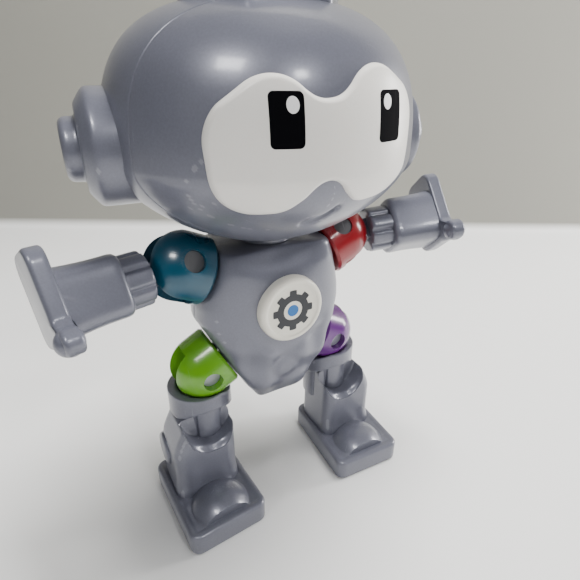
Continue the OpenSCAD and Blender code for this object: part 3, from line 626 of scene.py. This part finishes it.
def atShoulder(side, swivel, fall):
    m = move(shoulder["x"], 0, shoulder["z"]) @ turn("y", -shoulder["tilt"]) @ turn("x", -swivel) @ turn("y", fall)
    return mirrorX @ m if side < 0 else m

for side, name, swivel, fall in ((-1, "Right", "swivelRight", "fallRight"), (1, "Left", "swivelLeft", "fallLeft")):
    m = atShoulder(side, shoulder[swivel], shoulder[fall])
    low = name.lower()
    makePiece("arm" + name, [carry(p, m) for p in armParts], pearlGrey, "arm_" + low, ["arm_" + low])

print("legs")
leg = dict(hipX=17.3, hipZ=35.0, hipTilt=28.0, swingOut=12.5, socket=8.05,
           kneeX=18.7, kneeR=7.6, kneeLow=24.2, kneeHigh=30.8, arch=2.7, coreR=6.2, coreTop=28.0,
           footX=21.6, footWide=19.3, footLong=26.2, footThick=5.8, heel=4.8, footCorner=2.4, toeIn=3.4,
           shinWide=16.4, shinFront=-10.0, shinBack=4.2, shinTop=24.6, shinRim=1.2, lean=3.0, slim=1.2,
           calfY=0.6, calfZ=13.2, domeR=6.7, domeHigh=3.4, domeY=-14.9, groove=0.22)

# underside of the space the joint piece turns in: a ball, and a cylinder on its inner side, tilted
# as stored and as it lies when the leg is swung fully outwards
def socketFloor(x, y):
    dx, r = x - leg["hipX"], leg["socket"]
    floor = leg["hipZ"] - np.sqrt(np.clip(r * r - dx * dx - y * y, 0, None))
    for swing in (0.0, leg["swingOut"]):
        tilt = math.radians(leg["hipTilt"] - swing)
        c, s = math.cos(tilt), math.sin(tilt)
        rod = leg["hipZ"] - dx * s / c - np.sqrt(np.clip(r * r - y * y, 0, None)) / c
        alongRod = -dx * c + (rod - leg["hipZ"]) * s
        floor = np.where(alongRod > 0, np.minimum(floor, rod), floor)
    return floor

# cup: out along its underside, up the wall (front and back arched), over the rim, down the socket
def kneeCup():
    a = np.linspace(0, fullTurn, 200, endpoint=False)
    kx, r = leg["kneeX"], leg["kneeR"]
    c, s = np.cos(a), np.sin(a)
    archRise = leg["arch"] * (1 - (c / 0.92) ** 2)
    low = leg["kneeLow"] + np.maximum(archRise, 0)
    rim = np.minimum(leg["kneeHigh"], socketFloor(kx + (r - 0.3) * c, (r - 0.3) * s))
    rim = np.maximum(rim, low + 0.6)
    rows = []
    for rad, z in ((r - 2.2, low), (r - 0.4, low), (r - 0.1, low + 0.12), (r + 0.05, low + 0.4)):
        rows.append(np.stack([kx + rad * c, rad * s, z + 0 * a], -1))
    for t in np.linspace(0.1, 0.9, 8):
        rows.append(np.stack([kx + r * c, r * s, low + 0.5 + (rim - 0.3 - low - 0.5) * t], -1))
    rows.append(np.stack([kx + r * c, r * s, rim - 0.3], -1))
    rows.append(np.stack([kx + (r - 0.12) * c, (r - 0.12) * s, rim - 0.08], -1))
    rows.append(np.stack([kx + (r - 0.4) * c, (r - 0.4) * s, rim], -1))
    for rad in np.linspace(r - 0.6, 0.4, 18):
        x, y = kx + rad * c, rad * s
        rows.append(np.stack([x, y, np.minimum(rim, socketFloor(x, y))], -1))
    return tube(np.array(rows))

# core under the cup: a plain column with two upright steps beside its front
def kneeCore():
    a = np.linspace(0, fullTurn, 240, endpoint=False)
    off = np.abs((np.degrees(a) - 270 + 180) % 360 - 180)
    r = leg["coreR"] - 0.45 * (smoothStep(off, 26, 30) - smoothStep(off, 60, 70))
    x = leg["kneeX"] + r * np.cos(a)
    y = r * np.sin(a)
    top = np.minimum(leg["coreTop"], socketFloor(x, y) - 0.1)
    rows = [np.stack([x, y, np.minimum(h, top)], -1) for h in (15.0, 18.0, 21.0, 24.0)]
    rows.append(np.stack([x, y, top], -1))
    for rad in np.linspace(0.9, 0.1, 8):
        px, py = leg["kneeX"] + r * rad * np.cos(a), r * rad * np.sin(a)
        rows.append(np.stack([px, py, np.minimum(leg["coreTop"], socketFloor(px, py) - 0.1)], -1))
    return tube(np.array(rows))

# shin: a soft rectangle carried up, its outer side leaning in near the top; its front top edge is
# scooped by a circle whose depth grows towards the front
def shin():
    w, fx = leg["shinWide"] / 2, leg["footX"]
    top = leg["shinTop"]
    rows = []
    q, rim = np.linspace(0, quarterTurn, 7)[1:], leg["shinRim"]
    zs = np.concatenate([[3.0], np.linspace(5.2, top - rim, 44), top - rim * (1 - np.sin(q))])
    ins = np.concatenate([np.zeros(45), rim * (1 - np.cos(q))])
    for z, i in zip(zs, ins):
        lean = leg["lean"] * float(smoothStep(np.array(z), top - 7.5, top + 1.5))
        bell = 0.55 * math.exp(-((z - 6.0) / 2.2) ** 2)
        o = roundRect(fx - w + i - bell * 0.4, fx + w - leg["slim"] - lean - i + bell,
                      leg["shinFront"] + i - bell, leg["shinBack"] - i, 3.0, 220)
        rows.append(np.column_stack([o, np.full(len(o), z)]))
    last = rows[-1]
    centre = np.array([fx - 1.5, -2.0, top])
    for t in np.linspace(0, 0.95, 26)[1:]:
        rows.append(last + (centre - last) * t)
    rows = np.array(rows)
    x, y, z = rows[..., 0], rows[..., 1], rows[..., 2]
    dx = np.clip(np.abs(x - leg["kneeX"] - 0.5) / 6.4, 0, 1)
    scoop = top - 6.4 * np.sqrt(1 - dx * dx) * smoothStep(-y, 4.5, 5.0) \
        - 1.2 * smoothStep(-y, 8.4, 10.0) * (1 - dx ** 4)
    rows[..., 2] = np.where(dx < 1, np.minimum(z, np.maximum(scoop, 6.0)), z)
    return tube(rows)

# calf button: a low round boss on the shin's outer side
def calf():
    m = move(leg["footX"] + leg["shinWide"] / 2 - leg["slim"] - 1.3, leg["calfY"], leg["calfZ"]) @ turn("y", 90)
    return carry(lathe([(0.01, 0), (4.2, 0), (4.2, 1.5), (3.5, 2.1), (2, 2.25), (0.01, 2.3)], 72), m)

# foot: rounded plate whose top has a narrow raised border, and a ball-shaped toe dome on top
def foot():
    w, l = leg["footWide"] / 2, leg["footLong"]
    o = roundRect(-w, w, leg["heel"] - l, leg["heel"], leg["footCorner"], 240)
    n = inward(o)
    t, g = leg["footThick"], leg["groove"]
    edge = ((0.6, 0.0), (0.25, 0.12), (0.05, 0.4), (0, 0.8), (0, 2.2), (0, 3.6), (0, t - 0.9), (0.09, t - 0.5),
            (0.32, t - 0.18), (0.7, t - 0.02), (1.1, t), (1.35, t - 0.02), (1.6, t - 0.11), (1.85, t - 0.19),
            (2.2, t - g))
    rows = [np.column_stack([o + n * i, np.full(len(o), z)]) for i, z in edge]
    last = rows[-1]
    centre = np.array([0, leg["domeY"] + 2.0, t - g])
    for k in np.linspace(0, 0.99, 72)[1:]:
        rows.append(last + (centre - last) * k)
    rows = np.array(rows)
    d2 = rows[..., 0] ** 2 + (rows[..., 1] - leg["domeY"]) ** 2
    capR = (leg["domeR"] ** 2 + leg["domeHigh"] ** 2) / (2 * leg["domeHigh"])
    dome = t + leg["domeHigh"] - capR + np.sqrt(np.clip(capR ** 2 - d2, 0, None))
    inside = d2 < (leg["domeR"] + 0.35) ** 2
    rows[len(edge):, :, 2] = np.where(inside, np.maximum(rows[..., 2], dome), rows[..., 2])[len(edge):]
    return carry(tube(rows), move(leg["footX"], 0, 0) @ turn("z", -leg["toeIn"]))

# the leg's tab runs down from the hip pin into the knee cup
def legTab():
    part = tabPart(leg["hipZ"] - leg["kneeLow"], arm["tab"], arm["tabR"], arm["neckHalf"])
    return carry(part, move(leg["hipX"], 0, leg["hipZ"]) @ turn("y", 90))

legParts = [legTab(), kneeCup(), kneeCore(), shin(), calf(), foot()]
makePiece("legLeft", legParts, pearlGrey, "leg_left", ["leg_left"])
makePiece("legRight", [carry(p, mirrorX) for p in legParts], pearlGrey, "leg_right", ["leg_right"])

print("stage")
# from here on lengths are in metres; the stage is square to the camera's heading
view = dict(place=(-0.0419544, -0.0844749, 0.0986739), yaw=0.52369, pitch=0.466864, roll=0.0092065,
            lens=26.993, sensor=36)
stage = dict(wall=0.292, sweep=0.006, wide=1.6, near=-0.9, high=1.2,
             floor=(0.80, 0.80, 0.795, 1), backWall=(0.30, 0.295, 0.262, 1))
ahead = np.array([math.sin(view["yaw"]), math.cos(view["yaw"])])
across = np.array([math.cos(view["yaw"]), -math.sin(view["yaw"])])

# backdrop: floor line, quarter circle, wall line, carried sideways
def backdrop():
    a = np.linspace(0, quarterTurn, 24)
    s, r = stage["wall"], stage["sweep"]
    line = [(stage["near"], 0.0), (0, 0.0), (s - r, 0.0)]
    line += [(s - r + r * math.sin(t), r - r * math.cos(t)) for t in a] + [(s, stage["high"])]
    line = np.array(line)
    o = np.array(view["place"][:2])
    left, right = [], []
    for k, side in ((left, -1), (right, 1)):
        p = o + line[:, :1] * ahead + side * stage["wide"] / 2 * across
        k.append(np.column_stack([p, line[:, 1]]))
    points = np.vstack([left[0], right[0]])
    n = len(line)
    i = np.arange(n - 1)
    faces = np.stack([i, i + n, i + n + 1, i + 1], -1)
    mesh = bpy.data.meshes.new("backdrop")
    mesh.from_pydata(points.tolist(), [], faces.tolist())
    mesh.polygons.foreach_set("use_smooth", np.ones(len(faces), bool))
    obj = bpy.data.objects.new("backdrop", mesh)
    bpy.context.scene.collection.objects.link(obj)
    m = bpy.data.materials.new("paleStage")
    m.use_nodes = True
    t = m.node_tree
    shader = t.nodes["Principled BSDF"]
    geo = t.nodes.new("ShaderNodeNewGeometry")
    split = t.nodes.new("ShaderNodeSeparateXYZ")
    t.links.new(geo.outputs["Position"], split.inputs[0])
    up = ramp(t, split.outputs["Z"], 0.001, 0.006)
    t.links.new(blendColours(t, up, stage["floor"], stage["backWall"]), shader.inputs["Base Color"])
    shader.inputs["Roughness"].default_value = 0.6
    mesh.materials.append(m)

backdrop()

# rectangle light aimed at its target
def areaLight(name, where, target, size, power, colour, mirrored, lit):
    data = bpy.data.lights.new(name, "AREA")
    data.shape = "RECTANGLE"
    data.size, data.size_y = size
    data.energy = power
    data.color = colour
    obj = bpy.data.objects.new(name, data)
    obj.location = where
    obj.rotation_euler = (Vector(target) - Vector(where)).to_track_quat("-Z", "Y").to_euler()
    obj.visible_glossy = mirrored  # soft fill lights leave no hot spot on the glossy shells
    obj.visible_diffuse = lit      # the pearl highlight comes from a light that only reflects
    bpy.context.scene.collection.objects.link(obj)

# where, target, size, power, colour, seen in reflections, lights the surfaces
lights = dict(
    overhead=((0.12, 0.04, 0.52), (0.0, 0.0, 0.05), (0.26, 0.20), 5.6, (1, 0.99, 0.965), False, True),
    keySoft=((-0.21, -0.20, 0.44), (0.0, 0.0, 0.06), (0.12, 0.08), 1.2, (1, 0.995, 0.98), True, False),
    frontSoft=((0.24, -0.46, 0.26), (0.0, 0.0, 0.03), (0.30, 0.10), 0.3, (1, 0.99, 0.98), False, True),
    rightSoft=((0.42, -0.10, 0.14), (0.0, 0.0, 0.06), (0.07, 0.20), 1.5, (1, 0.98, 0.95), True, True),
    leftSoft=((-0.34, -0.16, 0.19), (0.0, 0.0, 0.03), (0.10, 0.16), 0.35, (1, 0.995, 0.985), False, True),
    footSoft=((0.05, -0.30, 0.34), (0.0, -0.01, 0.01), (0.05, 0.04), 0.4, (1, 1, 1), True, True))
for name, values in lights.items():
    areaLight(name, *values)

room = dict(colour=(0.86, 0.88, 0.92, 1), strength=0.19)
world = bpy.data.worlds.new("softRoom")
bpy.context.scene.world = world
world.use_nodes = True
background = world.node_tree.nodes["Background"]
background.inputs["Color"].default_value = room["colour"]
background.inputs["Strength"].default_value = room["strength"]

# camera turned by its yaw about Z, tipped down by its pitch, then rolled about its own line of sight
def addCamera():
    y, p, r = view["yaw"], view["pitch"], view["roll"]
    ahead3 = Vector((math.sin(y) * math.cos(p), math.cos(y) * math.cos(p), -math.sin(p)))
    right = Vector((math.cos(y), -math.sin(y), 0))
    up = right.cross(ahead3)
    right2 = math.cos(r) * right + math.sin(r) * up
    up2 = -math.sin(r) * right + math.cos(r) * up
    data = bpy.data.cameras.new("camera")
    data.sensor_width = view["sensor"]
    data.lens = view["lens"]
    data.clip_start = 0.005
    cam = bpy.data.objects.new("camera", data)
    m = Matrix((right2, up2, -ahead3)).transposed().to_4x4()
    m.translation = Vector(view["place"])
    cam.matrix_world = m
    bpy.context.scene.collection.objects.link(cam)
    bpy.context.scene.camera = cam

addCamera()
